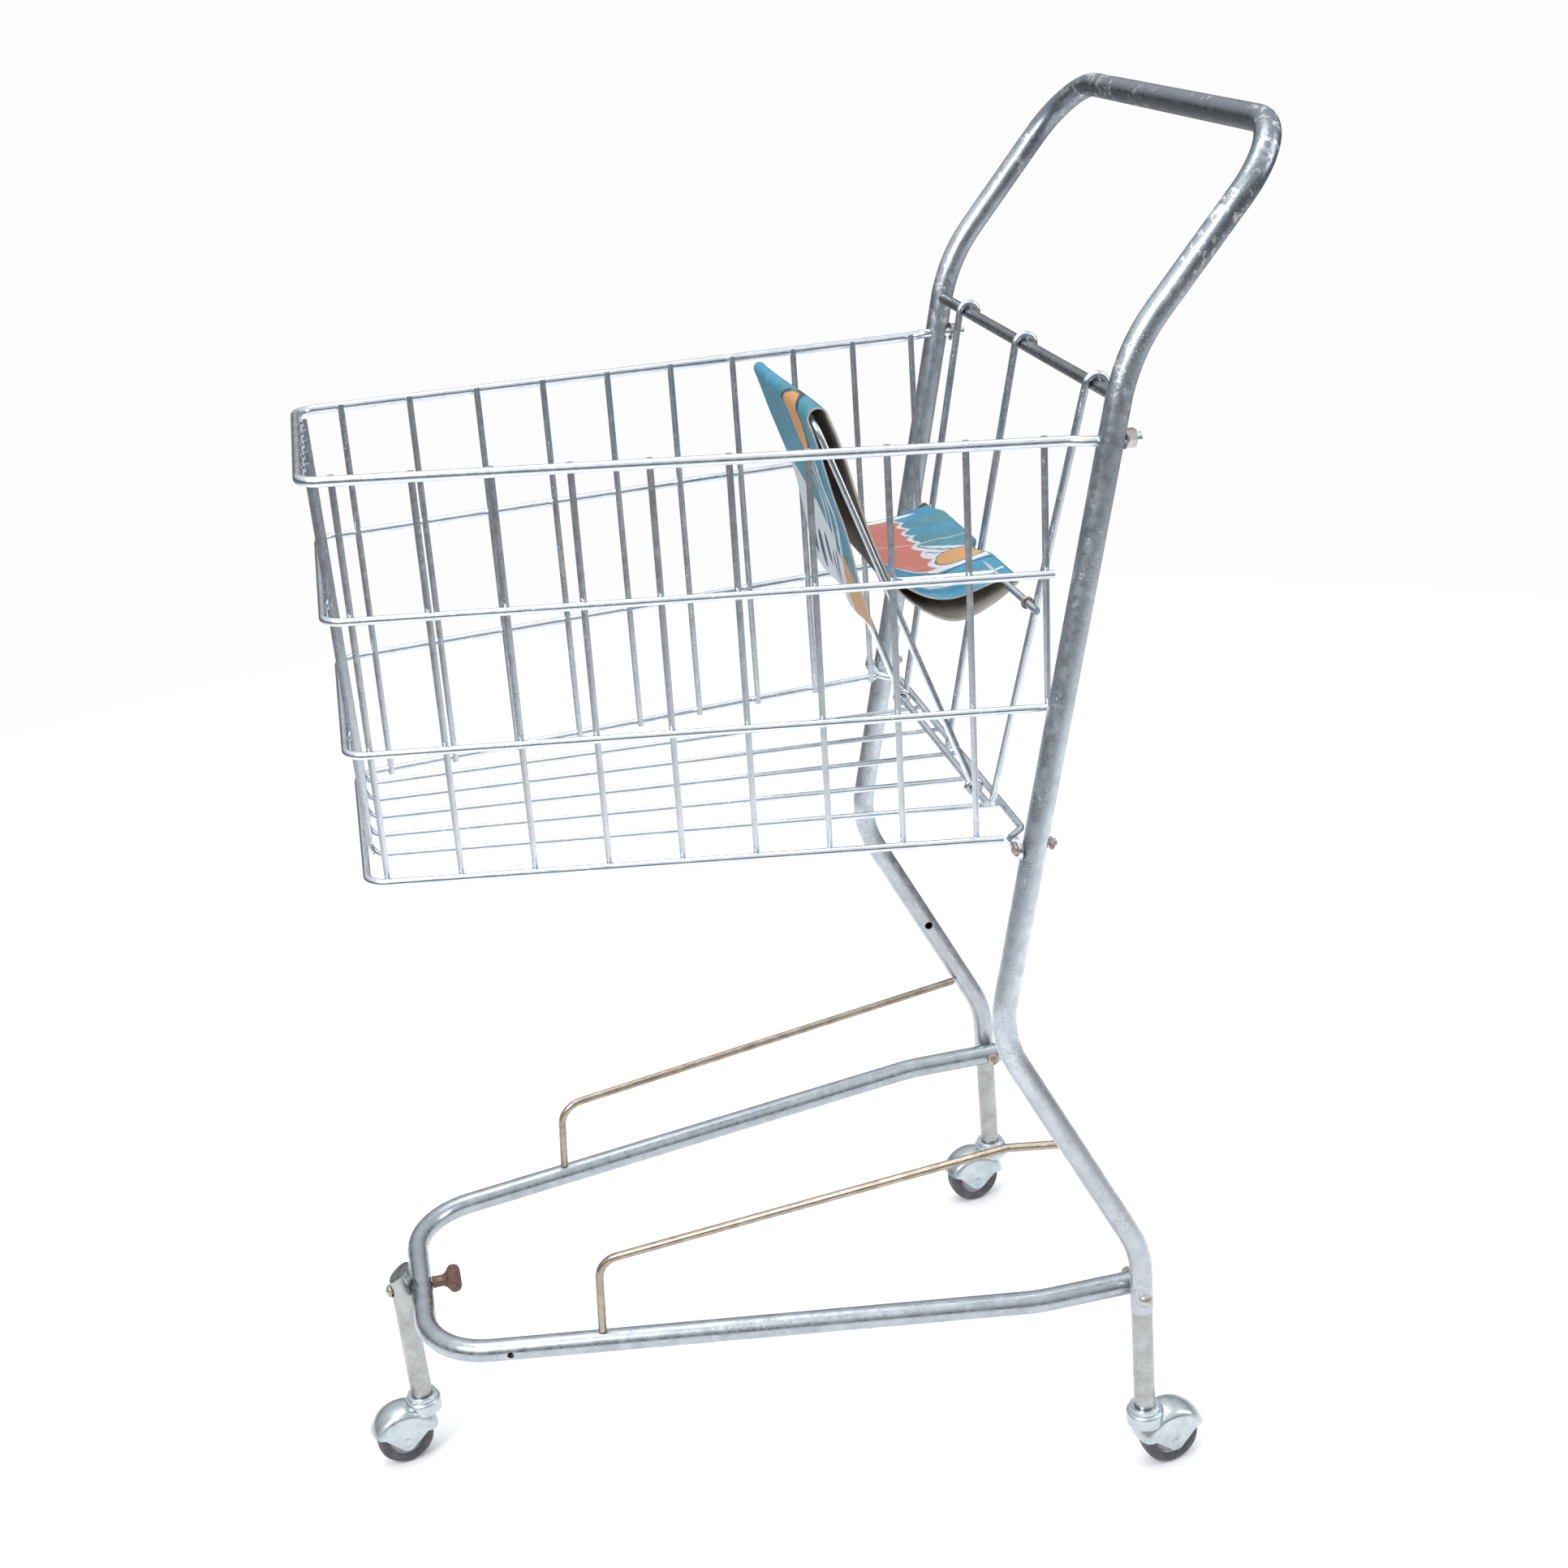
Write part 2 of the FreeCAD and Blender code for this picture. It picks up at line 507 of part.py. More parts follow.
def seat_cover():
    """Vinyl sleeve round the seat loop: flat on top, hanging below."""
    def section(half, sag, x):
        def at(along, up):
            return SEAT + V(x, 0, 0) + SEAT_OUT * along + SEAT_UP * up
        top = Part.LineSegment(at(0, half), at(SEAT_DEPTH, half)).toShape()
        nose = Part.Arc(at(SEAT_DEPTH, half), at(SEAT_DEPTH + half, 0), at(SEAT_DEPTH, -half)).toShape()
        belly = Part.Arc(at(SEAT_DEPTH, -half), at(SEAT_DEPTH / 2, -half - sag), at(0, -half)).toShape()
        back = Part.Arc(at(0, -half), at(-half, 0), at(0, half)).toShape()
        return Part.Face(Part.Wire([top, nose, belly, back]))
    outer = section(VINYL_HALF, SEAT_SAG, -120).extrude(V(240, 0, 0))
    inner = section(VINYL_HALF - VINYL, SEAT_SAG, -121).extrude(V(242, 0, 0))
    corners = [(-100, -8), (-92, SEAT_DEPTH + 8), (43, SEAT_DEPTH + 8), (76, -8)]
    points = [SEAT + V(x, 0, 0) + SEAT_OUT * a - SEAT_UP * 40 for x, a in corners]
    plan = Part.Face(Part.makePolygon(points + points[:1])).extrude(SEAT_UP * 60)
    return one(outer.cut(inner).common(plan))


# ---- write every node ------------------------------------------------------
def main():
    os.makedirs("parts", exist_ok=True)
    save("main_tube", main_tube())
    save("rear_leg_left", rear_leg(1))
    save("rear_leg_right", rear_leg(-1))
    save("lower_frame", lower_frame())
    save("front_leg", front_leg())
    save("side_wire_left", side_wire(1))
    save("side_wire_right", side_wire(-1))
    save("front_bolt", front_bolt())
    save("clamp_knob", clamp_knob())
    bolts, nuts, plugs = rail_fasteners()
    save("rail_bolts", bolts)
    save("rail_nuts", nuts)
    save("rail_end_plugs", plugs)

    places = {"left": V(LEG_X, LEG_BEND[0], 0), "right": V(-LEG_X, LEG_BEND[0], 0),
              "front": V(0, FRONT_LEG_Y, 0)}
    for name, place in places.items():
        for piece, solid in castor().items():
            solid.rotate(V(0, 0, 0), V(0, 0, 1), HEADINGS[name])
            solid.translate(place)
            save("castor_" + piece + "_" + name, solid)

    for i, name in enumerate(("basket_rim", "basket_hoop_upper", "basket_hoop_middle", "basket_hoop_bottom")):
        save(name, hoop(i))
    save("basket_wires_left", side_wires(1))
    save("basket_wires_right", side_wires(-1))
    save("basket_floor_wires", floor_wires())
    save("basket_cross_wire", rear_cross_wire())
    nuts, washers, bolts, small_nuts = basket_fasteners()
    save("rim_nuts", nuts)
    save("rim_washers", washers)
    save("basket_bolts", bolts)
    save("basket_nuts", small_nuts)

    save("pivot_rod", bar(ROD - V(LEG_X - 1, 0, 0), ROD + V(LEG_X - 1, 0, 0), ROD_R))
    save("gate_wires", gate_wires())
    save("gate_bottom_bar", bar(BAR - V(105, 0, 0), BAR + V(105, 0, 0), GATE_BAR_R))
    save("seat_eyes", seat_eyes())
    save("backrest_frame", backrest_frame())
    save("backrest_cover", backrest_cover())
    save("seat_frame", seat_frame())
    save("seat_cover", seat_cover())


main()
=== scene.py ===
"""Looks of the child's shopping trolley: materials for its metal pieces, and the
printed vinyl sleeves of the doll seat.  Metres, front towards -Y, left side +X."""

import math

import bmesh
import bpy
from mathutils import Matrix, Vector, noise


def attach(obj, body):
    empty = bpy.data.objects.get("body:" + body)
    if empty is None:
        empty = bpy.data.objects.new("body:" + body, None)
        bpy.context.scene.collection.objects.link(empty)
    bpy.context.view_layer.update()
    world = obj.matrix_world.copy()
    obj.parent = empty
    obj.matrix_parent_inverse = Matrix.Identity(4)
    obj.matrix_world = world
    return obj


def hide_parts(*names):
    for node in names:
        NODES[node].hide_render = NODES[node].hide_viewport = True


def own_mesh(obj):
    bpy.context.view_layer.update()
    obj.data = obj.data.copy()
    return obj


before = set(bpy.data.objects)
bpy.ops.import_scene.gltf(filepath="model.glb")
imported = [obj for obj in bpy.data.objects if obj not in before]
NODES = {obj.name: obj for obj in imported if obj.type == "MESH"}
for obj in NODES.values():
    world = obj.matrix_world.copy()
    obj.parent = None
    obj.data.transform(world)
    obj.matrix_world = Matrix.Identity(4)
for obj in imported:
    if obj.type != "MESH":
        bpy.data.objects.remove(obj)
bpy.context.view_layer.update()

# ---- camera, light and floor -------------------------------------------------
CAMERA_PLACE = (1.2796, -0.2025, 1.0147)
CAMERA_YAW, CAMERA_PITCH, CAMERA_ROLL = 0.179, 0.400, -0.096
LENS_MM, SENSOR_MM = 49.45, 36.0
PAPER_WHITE = (0.98, 0.98, 0.985)
FLOOR_RADIUS, FLOOR_DROP = 14, 0.0004


def make_camera():
    yaw, pitch, roll = CAMERA_YAW, CAMERA_PITCH, CAMERA_ROLL
    flat = math.cos(pitch)
    look = Vector((-math.cos(yaw) * flat, math.sin(yaw) * flat, -math.sin(pitch)))
    level = look.cross(Vector((0, 0, 1))).normalized()
    up = level.cross(look)
    right = level * math.cos(roll) + up * math.sin(roll)
    top = up * math.cos(roll) - level * math.sin(roll)
    data = bpy.data.cameras.new("camera")
    data.lens, data.sensor_width = LENS_MM, SENSOR_MM
    camera = bpy.data.objects.new("camera", data)
    turn = Matrix((right, top, -look)).transposed().to_4x4()
    camera.matrix_world = Matrix.Translation(CAMERA_PLACE) @ turn
    bpy.context.scene.collection.objects.link(camera)
    bpy.context.scene.camera = camera


def area_light(name, place, target, size, power, tint=(1, 1, 1)):
    data = bpy.data.lights.new(name, "AREA")
    data.shape, data.size, data.size_y = "RECTANGLE", size[0], size[1]
    data.energy, data.color = power, tint
    light = bpy.data.objects.new(name, data)
    place = Vector(place)
    light.location = place
    light.rotation_euler = (Vector(target) - place).to_track_quat("-Z", "Y").to_euler()
    bpy.context.scene.collection.objects.link(light)


def make_world():
    """Pale studio: white to look at, banded light and dark in reflections."""
    world = bpy.data.worlds.new("studio")
    bpy.context.scene.world = world
    world.use_nodes = True
    tree = world.node_tree
    tree.nodes.clear()
    coord = tree.nodes.new("ShaderNodeTexCoord")
    split = tree.nodes.new("ShaderNodeSeparateXYZ")
    tree.links.new(coord.outputs["Generated"], split.inputs[0])
    ramp = tree.nodes.new("ShaderNodeMapRange")
    ramp.inputs["From Min"].default_value, ramp.inputs["From Max"].default_value = -1.0, 1.0
    tree.links.new(split.outputs["Z"], ramp.inputs["Value"])
    bands = tree.nodes.new("ShaderNodeValToRGB")
    stops = [(0.0, 0.42), (0.46, 0.34), (0.50, 0.10), (0.56, 0.13), (0.64, 0.62),
             (0.80, 0.95), (1.0, 1.25)]
    points = bands.color_ramp.elements
    while len(points) < len(stops):
        points.new(0.5)
    for point, (at, level) in zip(points, stops):
        point.position = at
        point.color = (level * 0.97, level, level * 1.035, 1)
    tree.links.new(ramp.outputs[0], bands.inputs[0])
    seen = tree.nodes.new("ShaderNodeLightPath")
    mix = tree.nodes.new("ShaderNodeMix")
    mix.data_type = "RGBA"
    tree.links.new(seen.outputs["Is Camera Ray"], mix.inputs[0])
    tree.links.new(bands.outputs[0], mix.inputs[6])
    mix.inputs[7].default_value = (*PAPER_WHITE, 1)
    back = tree.nodes.new("ShaderNodeBackground")
    tree.links.new(mix.outputs[2], back.inputs["Color"])
    out = tree.nodes.new("ShaderNodeOutputWorld")
    tree.links.new(back.outputs[0], out.inputs["Surface"])


def make_floor():
    mesh = bpy.data.meshes.new("floor")
    shape = bmesh.new()
    bmesh.ops.create_circle(shape, cap_ends=True, radius=FLOOR_RADIUS, segments=96)
    shape.to_mesh(mesh)
    shape.free()
    floor = bpy.data.objects.new("floor", mesh)
    floor.location.z = -FLOOR_DROP
    bpy.context.scene.collection.objects.link(floor)
    mesh.materials.append(floor_paper())


def floor_paper():
    """Matt paper round the trolley that fades into plain white further out."""
    n = Nodes("floor_paper")
    far = n.add("ShaderNodeVectorMath", operation="LENGTH")
    n.join(n.place, far.inputs[0])
    fade = n.step(far.outputs["Value"], 0.55, 2.1)
    n.finish((0.92, 0.92, 0.925), 0.9, Specular_IOR_Level=0.1)
    seen = n.add("ShaderNodeLightPath").outputs["Is Camera Ray"]
    glow = n.add("ShaderNodeEmission")
    n.join(n.mix(seen, (0.22, 0.225, 0.235), PAPER_WHITE), glow.inputs["Color"])
    blend = n.add("ShaderNodeMixShader")
    n.join(fade, blend.inputs[0])
    n.join(n.shader.outputs[0], blend.inputs[1])
    n.join(glow.outputs[0], blend.inputs[2])
    n.join(blend.outputs[0], n.tree.nodes["Material Output"].inputs["Surface"])
    return n.material


# ---- material building blocks --------------------------------------------------


class Nodes:
    """Small wrapper that adds shader nodes and joins them."""

    def __init__(self, name):
        self.material = bpy.data.materials.new(name)
        self.material.use_nodes = True
        self.tree = self.material.node_tree
        self.shader = self.tree.nodes["Principled BSDF"]
        self.place = self.add("ShaderNodeTexCoord").outputs["Object"]

    def add(self, kind, **settings):
        node = self.tree.nodes.new(kind)
        for key, value in settings.items():
            setattr(node, key, value)
        return node

    def join(self, source, socket):
        if isinstance(source, (int, float)):
            socket.default_value = source
        elif isinstance(source, (tuple, list)):
            colour = len(source) == 3 and socket.type == "RGBA"
            socket.default_value = (*source, 1) if colour else source
        else:
            self.tree.links.new(source, socket)

    def maths(self, kind, a, b=0.0, c=0.0):
        node = self.add("ShaderNodeMath", operation=kind)
        for value, socket in zip((a, b, c), node.inputs):
            self.join(value, socket)
        return node.outputs[0]

    def mix(self, share, a, b):
        node = self.add("ShaderNodeMix", data_type="RGBA")
        self.join(share, node.inputs[0])
        self.join(a, node.inputs[6])
        self.join(b, node.inputs[7])
        return node.outputs[2]

    def noise(self, scale, detail=3.0, rough=0.5, place=None, warp=0.0):
        node = self.add("ShaderNodeTexNoise")
        self.join(place or self.place, node.inputs["Vector"])
        node.inputs["Scale"].default_value = scale
        node.inputs["Detail"].default_value = detail
        node.inputs["Roughness"].default_value = rough
        node.inputs["Distortion"].default_value = warp
        return node.outputs["Fac"]

    def cells(self, scale):
        node = self.add("ShaderNodeTexVoronoi")
        self.join(self.place, node.inputs["Vector"])
        node.inputs["Scale"].default_value = scale
        return node.outputs["Distance"]

    def step(self, value, low, high, to_low=0.0, to_high=1.0):
        node = self.add("ShaderNodeMapRange", interpolation_type="SMOOTHSTEP")
        self.join(value, node.inputs["Value"])
        ends = {"From Min": low, "From Max": high, "To Min": to_low, "To Max": to_high}
        for key, number in ends.items():
            self.join(number, node.inputs[key])
        return node.outputs[0]

    def bump(self, height, distance, strength=1.0, under=None):
        node = self.add("ShaderNodeBump")
        self.join(height, node.inputs["Height"])
        node.inputs["Distance"].default_value = distance
        node.inputs["Strength"].default_value = strength
        if under is not None:
            self.join(under, node.inputs["Normal"])
        return node.outputs["Normal"]

    def finish(self, colour, rough, metal=0.0, normal=None, **fixed):
        self.join(colour, self.shader.inputs["Base Color"])
        self.join(rough, self.shader.inputs["Roughness"])
        self.join(metal, self.shader.inputs["Metallic"])
        if normal is not None:
            self.join(normal, self.shader.inputs["Normal"])
        for key, value in fixed.items():
            self.shader.inputs[key.replace("_", " ")].default_value = value
        return self.material


def worn_plating(name, bright, dull, stain, stained=0.35, rough=(0.22, 0.42), pits=0.5,
                 base_stain=None):
    """Old plating: clouded bright and dull areas, brown stains, pinhead pits and a fine grain.
    base_stain is (low, high, share): extra stain that fades out between two heights."""
    n = Nodes(name)
    cloud = n.step(n.noise(85, 5, 0.62), 0.30, 0.72)
    colour = n.mix(cloud, bright, dull)
    patches = n.step(n.noise(14, 6, 0.66, warp=0.6), 0.62 - 0.12 * stained, 0.80)
    streaks = n.step(n.noise(120, 4, 0.6), 0.48, 0.75)
    brown = n.maths("MULTIPLY", patches, n.maths("MULTIPLY_ADD", streaks, 0.6, 0.4))
    brown = n.maths("MULTIPLY", brown, stained * 2.2)
    if base_stain is not None:
        low, high, share = base_stain
        split = n.add("ShaderNodeSeparateXYZ")
        n.join(n.place, split.inputs[0])
        near = n.step(split.outputs["Z"], high, low)
        low_stain = n.maths("MULTIPLY", near, n.maths("MULTIPLY", streaks, share))
        brown = n.maths("MAXIMUM", brown, low_stain)
    brown = n.step(brown, 0.0, 1.0)
    colour = n.mix(brown, colour, stain)
    speck = n.step(n.cells(620), 0.30, 0.12)
    where = n.step(n.noise(26, 3, 0.5), 0.46, 0.66)
    pit = n.maths("MULTIPLY", speck, where)
    colour = n.mix(n.maths("MULTIPLY", pit, pits), colour, tuple(0.42 * c for c in stain))
    shine = n.step(n.noise(210, 3, 0.55), 0.3, 0.7, rough[0], rough[1])
    shine = n.maths("ADD", shine, n.maths("MULTIPLY", brown, 0.25))
    grain = n.bump(n.noise(900, 2, 0.5), 0.00006, 0.5)
    normal = n.bump(n.maths("SUBTRACT", 1.0, pit), 0.00012, 0.8, grain)
    metal = n.maths("SUBTRACT", 1.0, n.maths("MULTIPLY", brown, 0.45))
    return n.finish(colour, shine, metal, normal)


def handle_plating():
    """The tube's plating: a dark, flaked grip at the handle, and darker grey towards the feet."""
    n = Nodes("tube_plating")
    split = n.add("ShaderNodeSeparateXYZ")
    n.join(n.place, split.inputs[0])
    height = split.outputs["Z"]
    cloud = n.step(n.noise(75, 5, 0.62), 0.30, 0.72)
    colour = n.mix(cloud, (0.60, 0.655, 0.70), (0.48, 0.525, 0.565))
    # the tube turns a darker grey below about 0.46 m, fully so at 0.24 m
    foot = n.step(height, 0.46, 0.24)
    colour = n.mix(n.maths("MULTIPLY", foot, 0.65), colour, (0.37, 0.38, 0.39))
    grip = n.step(height, 0.74, 0.86)
    colour = n.mix(n.maths("MULTIPLY", grip, 0.8), colour, (0.15, 0.172, 0.195))
    rubbed = n.step(n.noise(170, 5, 0.72), 0.52, 0.62)
    flake = n.maths("MULTIPLY", rubbed, n.step(n.noise(24, 3, 0.5), 0.44, 0.60))
    upper = n.step(height, 0.46, 0.80)
    flake = n.maths("MULTIPLY", flake, upper)
    colour = n.mix(n.maths("MULTIPLY", flake, 0.85), colour, (0.78, 0.79, 0.79))
    stains = n.step(n.noise(15, 6, 0.66, warp=0.7), 0.56, 0.78)
    grime = n.maths("MULTIPLY", stains, n.step(n.noise(130, 4, 0.6), 0.42, 0.72))
    colour = n.mix(n.maths("MULTIPLY", grime, 0.55), colour, (0.25, 0.20, 0.15))
    speck = n.step(n.cells(560), 0.32, 0.12)
    pit = n.maths("MULTIPLY", speck, n.step(n.noise(34, 3, 0.5), 0.44, 0.62))
    colour = n.mix(n.maths("MULTIPLY", pit, 0.55), colour, (0.13, 0.11, 0.10))
    shine = n.step(n.noise(150, 4, 0.6), 0.3, 0.7, 0.24, 0.40)
    shine = n.maths("ADD", shine, n.maths("MULTIPLY", flake, 0.16))
    relief = n.maths("SUBTRACT", n.maths("MULTIPLY", flake, 0.6), pit)
    normal = n.bump(relief, 0.00014, 0.9, n.bump(n.noise(800, 2, 0.5), 0.00006, 0.5))
    metal = n.maths("SUBTRACT", 1.0, n.maths("MULTIPLY", grime, 0.4))
    return n.finish(colour, shine, metal, normal)


def rusty_steel(name, steel, rust, amount):
    """Bare steel under crumbling patches of rust; amount 0..1 is how far they spread."""
    n = Nodes(name)
    patches = n.step(n.noise(85, 6, 0.7, warp=0.4), 0.62 - 0.4 * amount, 0.80 - 0.35 * amount)
    crumbs = n.noise(520, 5, 0.7)
    red = n.mix(n.step(crumbs, 0.35, 0.7), rust, tuple(0.45 * c for c in rust))
    colour = n.mix(patches, steel, red)
    grain = n.bump(n.noise(1400, 2, 0.5), 0.00004, 0.5)
    normal = n.bump(n.maths("MULTIPLY", crumbs, patches), 0.00022, 0.9, grain)
    metal = n.maths("SUBTRACT", 1.0, n.maths("MULTIPLY", patches, 0.75))
    return n.finish(colour, n.step(patches, 0.0, 1.0, 0.30, 0.68), metal, normal)


def rubber():
    """Dusty dark rubber of the castor tyres."""
    n = Nodes("castor_rubber")
    dust = n.step(n.noise(150, 5, 0.65), 0.44, 0.74)
    colour = n.mix(n.maths("MULTIPLY", dust, 0.5), (0.055, 0.058, 0.068), (0.20, 0.19, 0.185))
    worn = n.step(n.noise(40, 4, 0.6), 0.52, 0.72)
    colour = n.mix(n.maths("MULTIPLY", worn, 0.35), colour, (0.16, 0.125, 0.10))
    swell = n.bump(n.noise(240, 3, 0.5), 0.0003, 0.35)
    normal = n.bump(n.noise(1100, 3, 0.6), 0.00012, 0.6, swell)
    rough = n.step(dust, 0.0, 1.0, 0.48, 0.78)
    return n.finish(colour, rough, 0.0, normal, Specular_IOR_Level=0.4)


def aged_plastic(name, colour, dirt):
    """Plastic gone dull, with smudges of dirt."""
    n = Nodes(name)
    smudge = n.step(n.noise(95, 5, 0.65), 0.45, 0.72)
    tone = n.mix(n.maths("MULTIPLY", smudge, 0.6), colour, dirt)
    normal = n.bump(n.noise(700, 3, 0.6), 0.0001, 0.5)
    rough = n.step(smudge, 0.0, 1.0, 0.35, 0.6)
    return n.finish(tone, rough, 0.0, normal, Specular_IOR_Level=0.45)


# ---- printed vinyl ---------------------------------------------------------------


class Print(Nodes):
    """Builds a print out of blobs and bands in the sheet's own coordinates, in centimetres."""

    def __init__(self, name):
        super().__init__(name)
        uv = self.add("ShaderNodeUVMap", uv_map="cm")
        split = self.add("ShaderNodeSeparateXYZ")
        self.join(uv.outputs[0], split.inputs[0])
        self.sheet = uv.outputs[0]
        self.u, self.v = split.outputs[0], split.outputs[1]
        self.wobble = self.maths("SUBTRACT", self.noise(0.55, 2, 0.5, place=self.sheet), 0.5)
        self.ripple = self.maths("SUBTRACT", self.noise(2.1, 2, 0.5, place=self.sheet), 0.5)

    def blob(self, at, size, soft=0.05, teeth=0, depth=0.0, grow=0.0):
        """1 inside a wavy ellipse; teeth puts scallops round its edge."""
        x = self.maths("DIVIDE", self.maths("SUBTRACT", self.u, at[0]), size[0])
        y = self.maths("DIVIDE", self.maths("SUBTRACT", self.v, at[1]), size[1])
        square = self.maths("ADD", self.maths("MULTIPLY", x, x), self.maths("MULTIPLY", y, y))
        far = self.maths("SQRT", square)
        far = self.maths("ADD", far, self.maths("MULTIPLY", self.wobble, 0.45))
        if teeth:
            turn = self.maths("MULTIPLY", self.maths("ARCTAN2", y, x), teeth)
            notch = self.maths("SUBTRACT", 1.0, self.maths("ABSOLUTE", self.maths("SINE", turn)))
            far = self.maths("ADD", far, self.maths("MULTIPLY", notch, depth))
        return self.step(far, 1.0 + grow + soft, 1.0 + grow - soft)

    def band(self, middle, slope, curve, width, phase=0.0, soft=0.04, upright=False):
        """1 inside a wavy stripe v = middle + slope u + curve sin(0.75 u + phase), with u and v
        swapped when it is upright."""
        run, level = (self.v, self.u) if upright else (self.u, self.v)
        wave = self.maths("SINE", self.maths("MULTIPLY_ADD", run, 0.75, phase))
        line = self.maths("MULTIPLY_ADD", run, slope, middle)
        line = self.maths("ADD", line, self.maths("MULTIPLY", wave, curve))
        line = self.maths("ADD", line, self.maths("MULTIPLY", self.wobble, 1.3))
        off = self.maths("ABSOLUTE", self.maths("SUBTRACT", level, line))
        taper = self.maths("MULTIPLY_ADD", self.ripple, width * 0.9, width)
        return self.step(self.maths("SUBTRACT", off, taper), soft, -soft)


# the prints' colours
TEAL, DEEP, CORAL = (0.048, 0.19, 0.23), (0.014, 0.045, 0.075), (0.44, 0.125, 0.09)
ORANGE, PALE, SKY = (0.50, 0.25, 0.09), (0.52, 0.56, 0.60), (0.028, 0.215, 0.35)


def seat_print():
    """Coral patch at the front, teal at the far rear, pale swooshes and an orange patch between."""
    p = Print("seat_print")
    scallop = p.maths("ABSOLUTE", p.maths("SINE", p.maths("MULTIPLY", p.u, 2.1)))
    ragged = p.maths("MULTIPLY_ADD", p.wobble, 0.8, p.maths("MULTIPLY_ADD", scallop, -0.45, p.v))
    side = p.maths("MULTIPLY_ADD", p.wobble, 0.9, p.u)
    slant = p.maths("ADD", p.maths("ADD", side, p.v), 5.6)
    colour = p.mix(p.step(p.noise(0.35, 2, 0.5, place=p.sheet), 0.42, 0.56), TEAL, SKY)
    pale = p.maths("MULTIPLY", p.step(slant, -0.06, 0.06), p.step(side, 3.66, 3.54))
    colour = p.mix(p.maths("MULTIPLY", pale, p.step(p.v, -3.9, -4.0)), colour, PALE)
    colour = p.mix(p.band(-4.9, -0.98, 0.16, 0.09, 0.9, upright=True), colour, DEEP)
    colour = p.mix(p.band(-3.2, -0.78, 0.16, 0.07, 0.2, upright=True), colour, DEEP)
    colour = p.mix(p.blob((2.1, -6.1), (0.95, 1.45), grow=0.10), colour, DEEP)
    colour = p.mix(p.blob((2.1, -6.1), (0.95, 1.45)), colour, ORANGE)
    colour = p.mix(p.band(3.75, 0.0, 0.18, 0.08, 1.4, upright=True), colour, DEEP)
    colour = p.mix(p.band(6.2, 0.05, 0.30, 0.10, 1.0, upright=True), colour, PALE)
    edge = p.maths("MULTIPLY", p.step(ragged, -4.95, -4.85), p.step(side, 3.25, 3.15))
    colour = p.mix(edge, colour, PALE)
    patch = p.maths("MULTIPLY", p.step(ragged, -4.65, -4.55), p.step(side, 3.1, 3.0))
    colour = p.mix(patch, colour, CORAL)
    line = p.maths("MULTIPLY", p.band(-1.0, 0.02, 0.10, 0.06, 0.7, upright=True), 0.8)
    colour = p.mix(line, colour, PALE)
    colour = p.mix(p.step(p.v, -0.55, -0.45), colour, TEAL)
    colour = p.mix(p.band(1.2, 0.05, 0.30, 0.30, 1.9), colour, PALE)
    colour = p.mix(p.band(4.6, -0.08, 0.40, 0.55, 0.6), colour, CORAL)
    return vinyl_finish(p, colour)


def back_print():
    """Blue top with an outlined orange oval, streaks down the near side, and leaf shapes on a
    pale foot."""
    p = Print("back_print")
    colour = p.mix(p.step(p.noise(0.35, 2, 0.5, place=p.sheet), 0.40, 0.58), TEAL, SKY)
    streaks = ((6.3, 0.22, 0.50, PALE), (5.3, 0.20, 0.16, DEEP), (4.4, 0.26, 0.40, PALE),
               (3.5, 0.24, 0.12, DEEP), (7.4, 0.18, 0.14, DEEP), (2.7, 0.30, 0.22, PALE))
    for middle, slope, width, tone in streaks:
        streak = p.maths("MULTIPLY", p.band(middle, slope, 0.35, width, middle, upright=True),
                         p.step(p.v, -2.4, -3.6))
        colour = p.mix(streak, colour, tone)
    foot = p.maths("MULTIPLY_ADD", p.wobble, 1.2, p.v)
    foot = p.maths("ADD", foot, p.maths("MULTIPLY", p.u, 0.35))
    base = p.maths("MULTIPLY", p.step(foot, -8.6, -8.8), p.step(p.u, 3.4, 3.1))
    colour = p.mix(base, colour, PALE)
    leaves = (((-5.6, -10.9), (0.42, 1.25)), ((-3.9, -11.4), (0.50, 1.35)),
              ((-2.0, -10.9), (0.42, 1.2)), ((-0.2, -11.7), (0.46, 1.3)), ((1.6, -11.0), (0.40, 1.1)))
    for at, size in leaves:
        colour = p.mix(p.blob(at, size), colour, DEEP)
    corner = p.maths("MULTIPLY", p.step(foot, -7.9, -8.0), p.step(p.u, 3.7, 3.9))
    colour = p.mix(corner, colour, ORANGE)
    colour = p.mix(p.band(6.3, 0.0, 0.25, 0.10, 0.4, upright=True), colour,
                   p.mix(p.step(foot, -7.9, -8.0), TEAL, CORAL))
    colour = p.mix(p.blob((3.0, -1.0), (2.2, 2.1), grow=0.22), colour, DEEP)
    colour = p.mix(p.blob((3.0, -1.0), (2.2, 2.1)), colour, ORANGE)
    colour = p.mix(p.band(6.5, 0.12, 0.5, 0.9, 0.5), colour, PALE)
    colour = p.mix(p.blob((-1.5, 9.5), (4.2, 2.2), teeth=7, depth=0.16), colour, CORAL)
    return vinyl_finish(p, colour)


def vinyl_finish(p, colour):
    """Leathery grain, rubbed print and soft creases, shared by both prints."""
    grain = p.cells(1500)
    rub = p.step(p.noise(60, 5, 0.7), 0.56, 0.80)
    colour = p.mix(p.maths("MULTIPLY", rub, 0.22), colour, (0.62, 0.62, 0.58))
    dirt = p.step(p.noise(24, 5, 0.6), 0.52, 0.80)
    colour = p.mix(p.maths("MULTIPLY", dirt, 0.25), colour, (0.10, 0.09, 0.075))
    crease = p.noise(52, 3, 0.55, warp=1.2)
    normal = p.bump(grain, 0.00012, 0.5, p.bump(crease, 0.0012, 0.5))
    rough = p.step(p.noise(170, 3, 0.6), 0.3, 0.7, 0.36, 0.55)
    return p.finish(colour, rough, 0.0, normal, Specular_IOR_Level=0.45)


